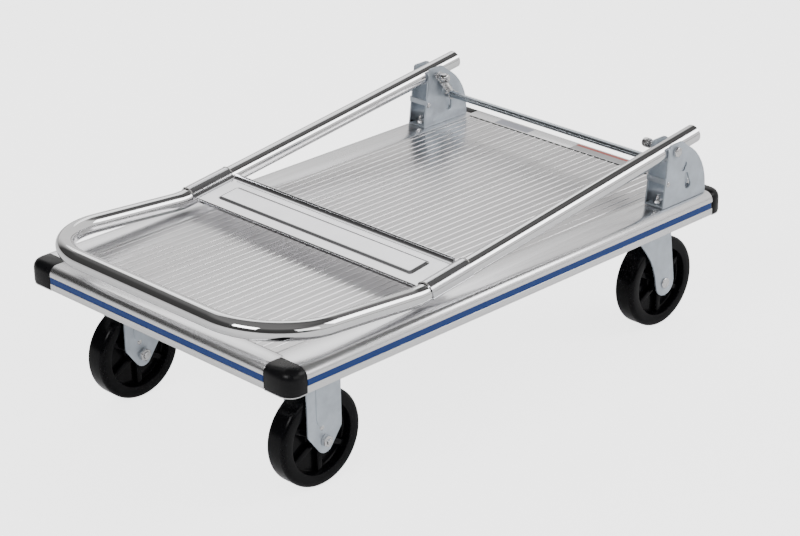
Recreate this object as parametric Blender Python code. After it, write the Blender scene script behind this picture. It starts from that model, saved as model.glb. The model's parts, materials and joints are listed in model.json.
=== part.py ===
import math

import bmesh
import bpy
from mathutils import Vector

# Driving dimensions, in metres. Y runs along the deck, the folded handle's loop is at -Y.
# Every Y below is counted from the middle of the deck; DECK_Y shifts the whole cart at the end.
DECK_LENGTH = 0.800
DECK_WIDTH = 0.500
DECK_TOP = 0.2060
RAIL_HEIGHT = 0.0320
RAIL_WALL = 0.0030
SIDE_MARGIN = 0.0525
END_MARGIN = 0.0325
EDGE_ROUND = 0.0120
CORNER_ROUND = 0.0180
CAP_ALONG_X = 0.0455
CAP_ALONG_Y_FRONT = 0.0285
CAP_ALONG_Y_REAR = 0.0245
TRIM_TOP = 0.0140
TRIM_BOTTOM = 0.0225
TRIM_DEPTH = 0.0015
GAP = 0.0003

PLANK_COUNT = 4
RIBS_PER_PLANK = 8
PLANK_DEPTH = 0.0200
PLANK_SKIN = 0.0025
RIB_BASE = 0.0022
RIB_CREST = 0.0011
RIB_HEIGHT = 0.0006
SEAM = 0.0012

TUBE_RADIUS = 0.0125
TUBE_WALL = 0.0015
TUBE_X = 0.2240
PIVOT_Y = 0.3065
PIVOT_Z = 0.2820
FOLD_SLOPE = math.radians(7.4)
STUB_LENGTH = 0.0550
KINK_ALONG = 0.4740
KINK_RADIUS = 0.1200
LOOP_Y = -0.4065
LOOP_Z = 0.2410
LOOP_RADIUS = 0.1000

PLATE_FROM = 0.3900
PLATE_TO = 0.4605
PLATE_RAISE = 0.0030
PLATE_THICK = 0.0015

BRACKET_OUTER = 0.2400
BRACKET_INNER = 0.2080
BRACKET_SHEET = 0.0025
BRACKET_FRONT = 0.2815
BRACKET_REAR = 0.3695
BRACKET_TOP = 0.2935

ROD_RADIUS = 0.00475
ROD_Y = 0.3325
ROD_Z = 0.2475
ROD_TRAVEL = 0.0200

STOP_Y = 0.2868
STOP_Z = 0.2435

WHEEL_RADIUS = 0.0650
WHEEL_WIDTH = 0.0315
WHEEL_X = 0.1745
FRONT_AXLE_Y = -0.2970
REAR_AXLE_Y = 0.3455
SWIVEL_OFFSET = 0.0380
FORK_HALF = 0.02125
FORK_SHEET = 0.0025
CASTER_PLATE_X = 0.0850
CASTER_PLATE_Y = 0.1000
CASTER_PLATE_THICK = 0.0030
RIGID_WEB_TOP = 0.1707
SWIVEL_WEB_TOP = 0.1555
AXLE_RADIUS = 0.0050

# The loop reaches further forward than the deck and the rear wheels reach further back,
# so the deck sits off the origin by half of the difference.
DECK_Y = ((TUBE_RADIUS - LOOP_Y) - (REAR_AXLE_Y + WHEEL_RADIUS)) / 2

HALF_L = DECK_LENGTH / 2
HALF_W = DECK_WIDTH / 2
RAIL_BOTTOM = DECK_TOP - RAIL_HEIGHT

for old in list(bpy.data.objects):
    bpy.data.objects.remove(old, do_unlink=True)

partCollection = bpy.data.collections.new("folding_platform_cart")
cutterCollection = bpy.data.collections.new("cutters")
bpy.context.scene.collection.children.link(partCollection)
bpy.context.scene.collection.children.link(cutterCollection)

MATERIALS = {
    "deck_aluminium": ((0.72, 0.72, 0.72), 1.0, 0.35),
    "rail_aluminium": ((0.74, 0.74, 0.75), 1.0, 0.30),
    "blue_trim": ((0.02, 0.08, 0.32), 0.0, 0.40),
    "black_plastic": ((0.015, 0.015, 0.015), 0.0, 0.35),
    "zinc_sheet": ((0.62, 0.66, 0.70), 1.0, 0.35),
    "zinc_fastener": ((0.70, 0.70, 0.72), 1.0, 0.30),
    "chrome_tube": ((0.80, 0.80, 0.80), 1.0, 0.08),
    "plated_sheet": ((0.72, 0.73, 0.74), 1.0, 0.25),
    "spring_steel": ((0.60, 0.60, 0.60), 1.0, 0.30),
    "wheel_black": ((0.012, 0.012, 0.014), 0.0, 0.30),
}


def make_material(name):
    colour, metallic, roughness = MATERIALS[name.split("-")[0]]
    material = bpy.data.materials.new(name)
    material.use_nodes = True
    shader = material.node_tree.nodes["Principled BSDF"]
    shader.inputs["Base Color"].default_value = (*colour, 1.0)
    shader.inputs["Metallic"].default_value = metallic
    shader.inputs["Roughness"].default_value = roughness
    return material


def emit(name, bm, slot=None, origin=(0.0, 0.0, 0.0), smooth=False):
    """Turn a bmesh built around the deck's middle into a named object of the cart."""
    bmesh.ops.remove_doubles(bm, verts=bm.verts, dist=1e-6)
    bmesh.ops.recalc_face_normals(bm, faces=bm.faces)
    offset = Vector(origin)
    bmesh.ops.translate(bm, verts=bm.verts, vec=-offset)
    mesh = bpy.data.meshes.new(name)
    bm.to_mesh(mesh)
    bm.free()
    obj = bpy.data.objects.new(name, mesh)
    obj.location = offset + Vector((0.0, DECK_Y, 0.0))
    if slot is None:
        cutterCollection.objects.link(obj)
        obj.hide_render = True
        obj.display_type = "WIRE"
    else:
        partCollection.objects.link(obj)
        mesh.materials.append(make_material(f"{slot}-{name}"))
    if smooth:
        for polygon in mesh.polygons:
            polygon.use_smooth = True
    return obj


def combine(target, tool, operation):
    modifier = target.modifiers.new(f"{operation.lower()}_{tool.name}", "BOOLEAN")
    modifier.operation = operation
    modifier.solver = "EXACT"
    modifier.object = tool
    return target


def place(axis, a, b, along):
    if axis == "X":
        return Vector((along, a, b))
    if axis == "Y":
        return Vector((a, along, b))
    return Vector((a, b, along))


def prism(loops, axis, low, high):
    """Extrude a flat outline, and the holes listed after it, along one axis."""
    bm = bmesh.new()
    edges = []
    for loop in loops:
        verts = [bm.verts.new(place(axis, a, b, low)) for a, b in loop]
        edges += [bm.edges.new((verts[i - 1], verts[i])) for i in range(len(verts))]
    filled = bmesh.ops.triangle_fill(bm, use_beauty=True, use_dissolve=False, edges=edges)
    faces = [item for item in filled["geom"] if isinstance(item, bmesh.types.BMFace)]
    raised = bmesh.ops.extrude_face_region(bm, geom=faces)
    moved = [item for item in raised["geom"] if isinstance(item, bmesh.types.BMVert)]
    bmesh.ops.translate(bm, verts=moved, vec=place(axis, 0.0, 0.0, high - low))
    return bm


def block(low, high):
    (x0, y0, z0), (x1, y1, z1) = low, high
    return prism([[(x0, y0), (x1, y0), (x1, y1), (x0, y1)]], "Z", z0, z1)


def arc(centre, radius, start, end, steps):
    """Points on an arc, angles in degrees, both ends included."""
    points = []
    for i in range(steps + 1):
        angle = math.radians(start + (end - start) * i / steps)
        points.append((centre[0] + radius * math.cos(angle), centre[1] + radius * math.sin(angle)))
    return points


def circle(centre, radius, steps=16):
    return arc(centre, radius, 0.0, 360.0 * (steps - 1) / steps, steps - 1)


def oblong(first, first_radius, last, last_radius, steps=4):
    """A slot outline round two centres; the two end radii may differ."""
    direction = math.degrees(math.atan2(last[1] - first[1], last[0] - first[0]))
    tail = arc(first, first_radius, direction + 90.0, direction + 270.0, steps)
    nose = arc(last, last_radius, direction - 90.0, direction + 90.0, steps)
    return tail + nose


def mirrored(loop):
    return [(-a, b) for a, b in reversed(loop)]


def turned(axis, centre, sections, sides=16):
    """Loft round or hexagonal sections (along, radius, is_hex) into a turned piece.

    A first and last radius of zero closes the ends; otherwise the profile is a ring.
    """
    bm = bmesh.new()
    rings = []
    for along, radius, is_hex in sections:
        if radius == 0.0:
            rings.append([bm.verts.new(place(axis, centre[0], centre[1], along))])
            continue
        ring = []
        for i in range(sides):
            angle = 2.0 * math.pi * i / sides
            reach = radius
            if is_hex:
                fold = (angle + math.pi / 6) % (math.pi / 3) - math.pi / 6
                reach = radius / math.cos(fold)
            a = centre[0] + reach * math.cos(angle)
            b = centre[1] + reach * math.sin(angle)
            ring.append(bm.verts.new(place(axis, a, b, along)))
        rings.append(ring)
    pairs = list(zip(rings[:-1], rings[1:]))
    if len(rings[0]) > 1:
        pairs.append((rings[-1], rings[0]))
    for low, high in pairs:
        for i in range(sides):
            j = (i + 1) % sides
            if len(low) == 1:
                bm.faces.new((low[0], high[i], high[j]))
            elif len(high) == 1:
                bm.faces.new((low[i], low[j], high[0]))
            else:
                bm.faces.new((low[i], low[j], high[j], high[i]))
    return bm


def rounded(corner, before, after, radius, steps):
    """Replace a corner of a 3-D path by an arc that is tangent to both sides."""
    to_before = (before - corner).normalized()
    to_after = (after - corner).normalized()
    half = to_before.angle(to_after) / 2
    centre = corner + (to_before + to_after).normalized() * (radius / math.sin(half))
    start = corner + to_before * (radius / math.tan(half)) - centre
    end = corner + to_after * (radius / math.tan(half)) - centre
    sweep = start.angle(end)
    points = []
    for i in range(steps + 1):
        t = i / steps
        blend = math.sin((1 - t) * sweep) * start + math.sin(t * sweep) * end
        points.append(centre + blend / math.sin(sweep))
    return points


def tube(path, outer, inner, sides):
    """Sweep an open-ended hollow tube along a 3-D path."""
    bm = bmesh.new()
    normal = Vector((1.0, 0.0, 0.0))
    shells = {outer: [], inner: []}
    for i, point in enumerate(path):
        tangent = (path[min(i + 1, len(path) - 1)] - path[max(i - 1, 0)]).normalized()
        normal = (normal - tangent * normal.dot(tangent)).normalized()
        binormal = tangent.cross(normal)
        for radius, rings in shells.items():
            ring = []
            for k in range(sides):
                angle = 2.0 * math.pi * k / sides
                spoke = normal * math.cos(angle) + binormal * math.sin(angle)
                ring.append(bm.verts.new(point + spoke * radius))
            rings.append(ring)
    for rings in shells.values():
        for low, high in zip(rings[:-1], rings[1:]):
            for k in range(sides):
                j = (k + 1) % sides
                bm.faces.new((low[k], low[j], high[j], high[k]))
    for end in (0, -1):
        outside, inside = shells[outer][end], shells[inner][end]
        for k in range(sides):
            j = (k + 1) % sides
            bm.faces.new((outside[k], outside[j], inside[j], inside[k]))
    return bm


# ---------------------------------------------------------------- deck planks
plank_span = DECK_WIDTH - 2 * SIDE_MARGIN
plank_width = (plank_span - (PLANK_COUNT + 1) * GAP) / PLANK_COUNT
plank_low = DECK_TOP - PLANK_DEPTH
skin_top = DECK_TOP - 0.0005
leg = 0.0020


def plank_outline(left):
    right = left + plank_width
    pitch = plank_width / RIBS_PER_PLANK
    skin_low = skin_top - PLANK_SKIN
    loop = [(left, plank_low), (left, skin_top)]
    for i in range(RIBS_PER_PLANK):
        middle = left + (i + 0.5) * pitch
        loop.append((middle - RIB_BASE / 2, skin_top))
        loop.append((middle - RIB_CREST / 2, skin_top + RIB_HEIGHT))
        loop.append((middle + RIB_CREST / 2, skin_top + RIB_HEIGHT))
        loop.append((middle + RIB_BASE / 2, skin_top))
    loop += [(right, skin_top), (right, plank_low), (right - leg, plank_low), (right - leg, skin_low)]
    for share in (2 / 3, 1 / 3):
        web = left + plank_width * share
        loop += [(web + leg / 2, skin_low), (web + leg / 2, plank_low)]
        loop += [(web - leg / 2, plank_low), (web - leg / 2, skin_low)]
    loop += [(left + leg, skin_low), (left + leg, plank_low)]
    return loop


plank_end = HALF_L - END_MARGIN - SEAM
for index in range(PLANK_COUNT):
    start = -plank_span / 2 + GAP + index * (plank_width + GAP)
    emit(f"deck_plank_{index + 1}", prism([plank_outline(start)], "Y", -plank_end, plank_end), "deck_aluminium")


# ---------------------------------------------------------------- frame rails
def rail_outline(outer, margin):
    """Section of a rail whose outer face is at +outer: rounded top edge, trim groove, lower lip."""
    inner = outer - margin
    crown = arc((outer - EDGE_ROUND, DECK_TOP - EDGE_ROUND), EDGE_ROUND, 90.0, 0.0, 6)
    groove_top, groove_low = DECK_TOP - TRIM_TOP, DECK_TOP - TRIM_BOTTOM
    hollow = arc((outer - EDGE_ROUND, DECK_TOP - EDGE_ROUND), EDGE_ROUND - RAIL_WALL, 0.0, 90.0, 4)
    wall = outer - RAIL_WALL - TRIM_DEPTH
    loop = [(inner, DECK_TOP - PLANK_DEPTH), (inner, DECK_TOP)] + crown
    loop += [(outer, groove_top), (outer - TRIM_DEPTH, groove_top)]
    loop += [(outer - TRIM_DEPTH, groove_low), (outer, groove_low)]
    loop += [(outer, RAIL_BOTTOM), (outer - 0.022, RAIL_BOTTOM), (outer - 0.022, RAIL_BOTTOM + RAIL_WALL)]
    loop += [(wall, RAIL_BOTTOM + RAIL_WALL), (wall, DECK_TOP - EDGE_ROUND)]
    loop += hollow[1:]
    loop += [(inner + RAIL_WALL, DECK_TOP - RAIL_WALL), (inner + RAIL_WALL, DECK_TOP - PLANK_DEPTH)]
    return loop


side_loop = rail_outline(HALF_W, SIDE_MARGIN)
end_loop = rail_outline(HALF_L, END_MARGIN)
rail_front_end = -HALF_L + CAP_ALONG_Y_FRONT + GAP
rail_rear_end = HALF_L - CAP_ALONG_Y_REAR - GAP
end_rail_half = HALF_W - CAP_ALONG_X - GAP
end_inner = HALF_L - END_MARGIN

for side, loop in (("right", side_loop), ("left", mirrored(side_loop))):
    sign = 1.0 if side == "right" else -1.0
    rail = emit(f"side_rail_{side}", prism([loop], "Y", rail_front_end, rail_rear_end), "rail_aluminium")
    for end, y_low, y_high in (
        ("front", -HALF_L, -end_inner + GAP),
        ("rear", end_inner - GAP, HALF_L),
    ):
        x_low, x_high = sorted((sign * (HALF_W - SIDE_MARGIN - 0.01), sign * (end_rail_half + GAP)))
        notch = block((x_low, y_low, plank_low - 0.01), (x_high, y_high, DECK_TOP + 0.01))
        combine(rail, emit(f"notch_{side}_{end}", notch), "DIFFERENCE")
    trim_low, trim_high = sorted((sign * (HALF_W - TRIM_DEPTH + GAP), sign * (HALF_W - 0.0001)))
    trim = block(
        (trim_low, rail_front_end + 0.0005, DECK_TOP - TRIM_BOTTOM + GAP),
        (trim_high, rail_rear_end - 0.0025, DECK_TOP - TRIM_TOP - GAP),
    )
    emit(f"trim_{side}", trim, "blue_trim")

for end, loop in (("rear", end_loop), ("front", mirrored(end_loop))):
    sign = 1.0 if end == "rear" else -1.0
    emit(f"end_rail_{end}", prism([loop], "X", -end_rail_half, end_rail_half), "rail_aluminium")
    trim_low, trim_high = sorted((sign * (HALF_L - TRIM_DEPTH + GAP), sign * (HALF_L - 0.0001)))
    trim = block(
        (-end_rail_half + 0.0005, trim_low, DECK_TOP - TRIM_BOTTOM + GAP),
        (end_rail_half - 0.0005, trim_high, DECK_TOP - TRIM_TOP - GAP),
    )
    emit(f"trim_{end}", trim, "blue_trim")


# ---------------------------------------------------------------- corner caps
def corner_cap(sign_x, sign_y, along_y):
    """A solid corner block: round upright corner, round top edge, softened lower edge."""
    levels = [(0.0012, RAIL_BOTTOM), (0.0, RAIL_BOTTOM + 0.0012), (0.0, DECK_TOP - EDGE_ROUND)]
    for angle in (22.5, 45.0, 67.5, 90.0):
        turn = math.radians(angle)
        inset = EDGE_ROUND * (1.0 - math.cos(turn))
        levels.append((inset, DECK_TOP - EDGE_ROUND * (1.0 - math.sin(turn))))
    x_in = HALF_W - CAP_ALONG_X
    y_in = HALF_L - along_y
    bm = bmesh.new()
    rings = []
    for inset, z in levels:
        radius = CORNER_ROUND - inset
        centre = (HALF_W - CORNER_ROUND, HALF_L - CORNER_ROUND)
        outline = [(x_in, y_in), (HALF_W - inset, y_in)]
        outline += arc(centre, radius, 0.0, 90.0, 5)
        outline.append((x_in, HALF_L - inset))
        rings.append([bm.verts.new((sign_x * a, sign_y * b, z)) for a, b in outline])
    for low, high in zip(rings[:-1], rings[1:]):
        for i in range(len(low)):
            bm.faces.new((low[i - 1], low[i], high[i], high[i - 1]))
    bm.faces.new(rings[0])
    bm.faces.new(rings[-1])
    return bm


for end, sign_y, along_y in (("front", -1.0, CAP_ALONG_Y_FRONT), ("rear", 1.0, CAP_ALONG_Y_REAR)):
    for side, sign_x in (("left", -1.0), ("right", 1.0)):
        emit(f"corner_cap_{end}_{side}", corner_cap(sign_x, sign_y, along_y), "black_plastic")


# ---------------------------------------------------------------- cross members under the deck
member_half_x = HALF_W - 0.022 - GAP
member_top = plank_low - GAP
for end, middle in (("front", FRONT_AXLE_Y), ("rear", REAR_AXLE_Y - SWIVEL_OFFSET)):
    half = CASTER_PLATE_Y / 2 + 0.004
    low, high = middle - half, middle + half
    web = 0.0025
    channel = [
        (low, RAIL_BOTTOM), (high, RAIL_BOTTOM), (high, member_top), (high - web, member_top),
        (high - web, RAIL_BOTTOM + web), (low + web, RAIL_BOTTOM + web), (low + web, member_top),
        (low, member_top),
    ]
    emit(f"cross_member_{end}", prism([channel], "X", -member_half_x, member_half_x), "rail_aluminium")


# ---------------------------------------------------------------- hinge brackets
base_low = DECK_TOP + GAP
base_high = base_low + BRACKET_SHEET
quarter_centre = (0.2935, 0.2180)
bracket_outline = [(BRACKET_REAR, base_low)]
bracket_outline += arc(quarter_centre, BRACKET_REAR - quarter_centre[0], 0.0, 62.0, 7)
bracket_outline += [(0.3255, 0.2885), (0.3215, 0.2922), (0.3175, BRACKET_TOP)]
front_foot, front_head = (BRACKET_FRONT, base_low), (0.2938, 0.2920)


def front_edge(z):
    share = (z - front_foot[1]) / (front_head[1] - front_foot[1])
    return (front_foot[0] + (front_head[0] - front_foot[0]) * share, z)


bracket_outline += [(0.2965, BRACKET_TOP), front_head, front_edge(STOP_Z + 0.0045)]
bracket_outline += [(STOP_Y + 0.0016, STOP_Z + 0.0045), (STOP_Y + 0.0016, STOP_Z - 0.0045)]
bracket_outline += [front_edge(STOP_Z - 0.0045), front_foot]
pivot_hole = circle((PIVOT_Y, PIVOT_Z), 0.0044, 12)
slot_inner = oblong((ROD_Y, ROD_Z - ROD_TRAVEL - 0.0005), 0.0056, (ROD_Y, ROD_Z + 0.0003), 0.0056)
slot_lower = [(0.3262, 0.2462), (0.3312, 0.2462)] + arc((0.3322, 0.2280), 0.0062, 10.0, -190.0, 7)
slot_upper = [
    (0.3222, 0.2600), (0.3240, 0.2622), (0.3283, 0.2622), (0.3298, 0.2600), (0.3290, 0.2562),
    (0.3262, 0.2540), (0.3262, 0.2512), (0.3238, 0.2496), (0.3186, 0.2506), (0.3178, 0.2530),
    (0.3204, 0.2548), (0.3224, 0.2560),
]
slot_upper_inner = oblong((0.3215, 0.2568), 0.0024, (0.3305, 0.2608), 0.0024)
base_bolt_ys = (0.2905, 0.3520)

for side, sign in (("left", -1.0), ("right", 1.0)):
    def span(first, second):
        return sorted((sign * first, sign * second))

    bracket = emit(
        f"hinge_bracket_{side}",
        prism([bracket_outline, pivot_hole, slot_lower, slot_upper], "X",
              *span(BRACKET_OUTER - BRACKET_SHEET, BRACKET_OUTER)),
        "zinc_sheet",
    )
    inner_plate = prism(
        [bracket_outline, pivot_hole, slot_inner, slot_upper_inner], "X",
        *span(BRACKET_INNER, BRACKET_INNER + BRACKET_SHEET))
    x_low, x_high = span(BRACKET_INNER + 0.001, BRACKET_OUTER - 0.001)
    floor_loop = [
        (x_low, BRACKET_FRONT + 0.0005), (x_high, BRACKET_FRONT + 0.0005),
        (x_high, BRACKET_REAR - 0.0005), (x_low, BRACKET_REAR - 0.0005),
    ]
    bolt_holes = [circle((sign * TUBE_X, y), 0.0034, 12) for y in base_bolt_ys]
    base = prism([floor_loop] + bolt_holes, "Z", base_low + 0.0001, base_high)
    combine(bracket, emit(f"bracket_base_{side}", base), "UNION")
    combine(bracket, emit(f"bracket_inner_plate_{side}", inner_plate), "UNION")

    stop_low, stop_high = span(BRACKET_INNER - 0.0008, BRACKET_OUTER + 0.0008)
    stop = block(
        (stop_low, STOP_Y - 0.0013, STOP_Z - 0.0042),
        (stop_high, STOP_Y + 0.0013, STOP_Z + 0.0042),
    )
    emit(f"stop_bar_{side}", stop, "zinc_sheet")

    # Pivot bolt: domed hexagon head outside, plain shank through the tube, cap nut inside.
    face = sign * (BRACKET_OUTER + GAP)
    bolt = [
        (face + sign * 0.0058, 0.0, False), (face + sign * 0.0055, 0.0040, False),
        (face + sign * 0.0042, 0.0064, True), (face, 0.0066, True), (face, 0.0040, False),
        (sign * 0.1865, 0.0040, False), (sign * 0.1865, 0.0, False),
    ]
    emit(f"pivot_bolt_{side}", turned("X", (PIVOT_Y, PIVOT_Z), bolt, 12), "zinc_fastener")
    nut = [
        (sign * 0.1825, 0.0, False), (sign * 0.1830, 0.0038, False), (sign * 0.1845, 0.0060, False),
        (sign * 0.1865, 0.0066, False), (sign * 0.1945, 0.0066, False), (sign * 0.1945, 0.0043, False),
        (sign * 0.1860, 0.0043, False), (sign * 0.1860, 0.0, False),
    ]
    emit(f"pivot_nut_{side}", turned("X", (PIVOT_Y, PIVOT_Z), nut, 12), "zinc_fastener")

    for end, y in zip(("front", "rear"), base_bolt_ys):
        seat = base_high + GAP
        stud = [
            (DECK_TOP + GAP, 0.0, False), (DECK_TOP + GAP, 0.0030, False), (seat, 0.0030, False),
            (seat, 0.0058, True), (seat + 0.0052, 0.0058, True), (seat + 0.0052, 0.0030, False),
            (seat + 0.0110, 0.0030, False), (seat + 0.0118, 0.0022, False), (seat + 0.0118, 0.0, False),
        ]
        emit(f"bracket_bolt_{side}_{end}", turned("Z", (sign * TUBE_X, y), stud, 12), "zinc_fastener")


# ---------------------------------------------------------------- latch rod and its springs
rod_end = TUBE_X - TUBE_RADIUS - GAP
collar_out, collar_in = BRACKET_INNER - GAP, BRACKET_INNER - 0.0020
rod_sections = [
    (-rod_end, 0.0, False), (-rod_end, ROD_RADIUS, False),
    (-collar_out, ROD_RADIUS, False), (-collar_out, 0.0068, False),
    (-collar_in, 0.0068, False), (-collar_in, ROD_RADIUS, False),
    (collar_in, ROD_RADIUS, False), (collar_in, 0.0068, False),
    (collar_out, 0.0068, False), (collar_out, ROD_RADIUS, False),
    (rod_end, ROD_RADIUS, False), (rod_end, 0.0, False),
]
emit("latch_rod", turned("X", (ROD_Y, ROD_Z), rod_sections, 14), "zinc_sheet",
     origin=(0.0, ROD_Y, ROD_Z), smooth=True)

spring_x = BRACKET_INNER - 0.0072
spring_radius = 0.0052
pull = Vector((0.0, ROD_Y - PIVOT_Y, ROD_Z - PIVOT_Z))
pull_length = pull.length
pull.normalize()
across = Vector((0.0, -pull.z, pull.y))


def eye_outline(centre, toward, hole, rim, reach):
    """Flat hook: a ring round a pin with a neck that reaches toward the coil."""
    base_angle = math.degrees(math.atan2(toward[1], toward[0]))
    ring = arc(centre, rim, base_angle + 18.0, base_angle + 342.0, 10)
    side = (-toward[1], toward[0])
    half = 0.0016
    neck = [
        (centre[0] + toward[0] * reach - side[0] * half, centre[1] + toward[1] * reach - side[1] * half),
        (centre[0] + toward[0] * reach + side[0] * half, centre[1] + toward[1] * reach + side[1] * half),
    ]
    return [ring + neck, circle(centre, hole, 10)]


for side, sign in (("left", -1.0), ("right", 1.0)):
    x = sign * spring_x
    pin = Vector((x, PIVOT_Y, PIVOT_Z))
    bm = bmesh.new()
    rings = []
    for along in (0.0100, pull_length - 0.0100):
        ring = []
        for k in range(10):
            angle = 2.0 * math.pi * k / 10
            spoke = Vector((1.0, 0.0, 0.0)) * math.cos(angle) + across * math.sin(angle)
            ring.append(bm.verts.new(pin + pull * along + spoke * spring_radius))
        rings.append(ring)
    for k in range(10):
        bm.faces.new((rings[0][k - 1], rings[0][k], rings[1][k], rings[1][k - 1]))
    bm.faces.new(rings[0])
    bm.faces.new(rings[1])
    spring = emit(f"return_spring_{side}", bm, "spring_steel")
    away = (pull.y, pull.z)
    back = (-pull.y, -pull.z)
    upper = eye_outline((PIVOT_Y, PIVOT_Z), away, 0.0046, 0.0062, 0.0120)
    lower = eye_outline((ROD_Y, ROD_Z), back, 0.0052, 0.0068, 0.0120)
    for label, loops in (("upper", upper), ("lower", lower)):
        eye = prism(loops, "X", x - 0.0008, x + 0.0008)
        combine(spring, emit(f"spring_eye_{label}_{side}", eye), "UNION")


# ---------------------------------------------------------------- folding handle
leg_way = Vector((0.0, -math.cos(FOLD_SLOPE), -math.sin(FOLD_SLOPE)))
leg_up = Vector((0.0, -math.sin(FOLD_SLOPE), math.cos(FOLD_SLOPE)))
pivot_point = Vector((0.0, PIVOT_Y, PIVOT_Z))


def leg_point(x, along):
    return Vector((x, 0.0, 0.0)) + pivot_point + leg_way * along


right_end = leg_point(TUBE_X, -STUB_LENGTH)
right_kink = leg_point(TUBE_X, KINK_ALONG)
right_corner = Vector((TUBE_X, LOOP_Y, LOOP_Z))
left_corner = Vector((-TUBE_X, LOOP_Y, LOOP_Z))
half_path = [right_end]
half_path += rounded(right_kink, right_end, right_corner, KINK_RADIUS, 3)
half_path += rounded(right_corner, right_kink, left_corner, LOOP_RADIUS, 8)
handle_path = half_path + [Vector((-p.x, p.y, p.z)) for p in reversed(half_path)]
handle = emit("handle_tube", tube(handle_path, TUBE_RADIUS, TUBE_RADIUS - TUBE_WALL, 14), "chrome_tube",
              origin=(0.0, PIVOT_Y, PIVOT_Z), smooth=True)
for side, sign in (("left", -1.0), ("right", 1.0)):
    low, high = sorted((sign * (TUBE_X - 0.020), sign * (TUBE_X + 0.020)))
    drill = turned("X", (PIVOT_Y, PIVOT_Z), [
        (low, 0.0, False), (low, 0.0044, False), (high, 0.0044, False), (high, 0.0, False)], 12)
    combine(handle, emit(f"tube_drill_{side}", drill), "DIFFERENCE")

# Cross plate: one sheet whose ends wrap over both legs, with a stiffening flange and lip.
sleeve_in = TUBE_RADIUS + GAP
sleeve_out = sleeve_in + PLATE_THICK
meet = math.degrees(math.asin((PLATE_RAISE - PLATE_THICK / 2) / sleeve_in))
outside = arc((TUBE_X, 0.0), sleeve_out, 180.0 - meet - 8.0, -30.0, 9)
inside = arc((TUBE_X, 0.0), sleeve_in, -30.0, 180.0 - meet, 9)
plate_top = PLATE_RAISE + PLATE_THICK / 2
plate_low = PLATE_RAISE - PLATE_THICK / 2
right_half = [(TUBE_X - sleeve_out - 0.0015, plate_top)] + outside + inside
right_half.append((inside[-1][0] - 0.0008, plate_low))
plate_section = right_half + mirrored(right_half)


def along_leg(loop, start, end):
    """Extrude a section given in (x, height over the leg's centre line) along the legs."""
    bm = bmesh.new()
    rings = []
    for along in (start, end):
        rings.append([bm.verts.new(leg_point(a, along) + leg_up * b) for a, b in loop])
    for i in range(len(loop)):
        bm.faces.new((rings[0][i - 1], rings[0][i], rings[1][i], rings[1][i - 1]))
    edges = [[bm.edges.get((ring[i - 1], ring[i])) for i in range(len(ring))] for ring in rings]
    for group in edges:
        bmesh.ops.triangle_fill(bm, use_beauty=True, use_dissolve=False, edges=group)
    return bm


cross_plate = emit("cross_plate", along_leg(plate_section, PLATE_FROM, PLATE_TO), "plated_sheet",
                   origin=(0.0, PIVOT_Y, PIVOT_Z))
flange_x = TUBE_X - sleeve_out - 0.0030
flange = [(-flange_x, plate_low + 0.0002), (flange_x, plate_low + 0.0002),
          (flange_x, plate_top + 0.0060), (-flange_x, plate_top + 0.0060)]
lip = [(-flange_x, plate_low - 0.0060), (flange_x, plate_low - 0.0060),
       (flange_x, plate_top - 0.0002), (-flange_x, plate_top - 0.0002)]
combine(cross_plate, emit("plate_flange", along_leg(flange, PLATE_FROM - 0.0004, PLATE_FROM + 0.0014)), "UNION")
combine(cross_plate, emit("plate_lip", along_leg(lip, PLATE_TO - 0.0014, PLATE_TO + 0.0004)), "UNION")

panel = []
panel_from, panel_to, panel_x, panel_round = PLATE_FROM + 0.0130, PLATE_TO - 0.0150, 0.1830, 0.0080
for cx, cy, start_angle in (
    (panel_x, panel_to, 0.0), (-panel_x, panel_to, 90.0),
    (-panel_x, panel_from, 180.0), (panel_x, panel_from, 270.0),
):
    inner_x = cx - math.copysign(panel_round, cx)
    inner_y = cy - panel_round if cy == panel_to else cy + panel_round
    panel += arc((inner_x, inner_y), panel_round, start_angle, start_angle + 90.0, 4)
bm = bmesh.new()
rings = []
for height in (plate_top - 0.0003, plate_top + 0.0012):
    rings.append([bm.verts.new(leg_point(a, b) + leg_up * height) for a, b in panel])
for i in range(len(panel)):
    bm.faces.new((rings[0][i - 1], rings[0][i], rings[1][i], rings[1][i - 1]))
bm.faces.new(rings[0])
bm.faces.new(rings[1])
combine(cross_plate, emit("plate_panel", bm), "UNION")


# ---------------------------------------------------------------- casters
def fork_shell(x_middle, web_top, y_low, y_high):
    """Folded sheet: an upside-down U seen along Y, with rounded folds."""
    fold = 0.0060
    outer, inner = FORK_HALF, FORK_HALF - FORK_SHEET
    shoulder = web_top - fold
    loop = [(x_middle - outer, 0.02), (x_middle - outer, shoulder)]
    loop += arc((x_middle - outer + fold, shoulder), fold, 180.0, 90.0, 4)[1:]
    loop += arc((x_middle + outer - fold, shoulder), fold, 90.0, 0.0, 4)
    loop += [(x_middle + outer, 0.02), (x_middle + inner, 0.02), (x_middle + inner, shoulder)]
    inside_fold = fold - FORK_SHEET
    loop += arc((x_middle + inner - inside_fold, shoulder), inside_fold, 0.0, 90.0, 3)[1:]
    loop += arc((x_middle - inner + inside_fold, shoulder), inside_fold, 90.0, 180.0, 3)
    loop.append((x_middle - inner, 0.02))
    return prism([loop], "Y", y_low, y_high)


def rigid_side():
    """Side view of the rigid fork round its axle."""
    y, z = FRONT_AXLE_Y, WHEEL_RADIUS
    loop = arc((y, z - 0.0045), 0.0130, 215.0, 325.0, 6)
    loop += [(y + 0.0275, 0.0760), (y + 0.0280, 0.0800), (y + 0.0280, 0.1790)]
    loop += [(y - 0.0280, 0.1790), (y - 0.0280, 0.0800), (y - 0.0275, 0.0760)]
    return loop


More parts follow.
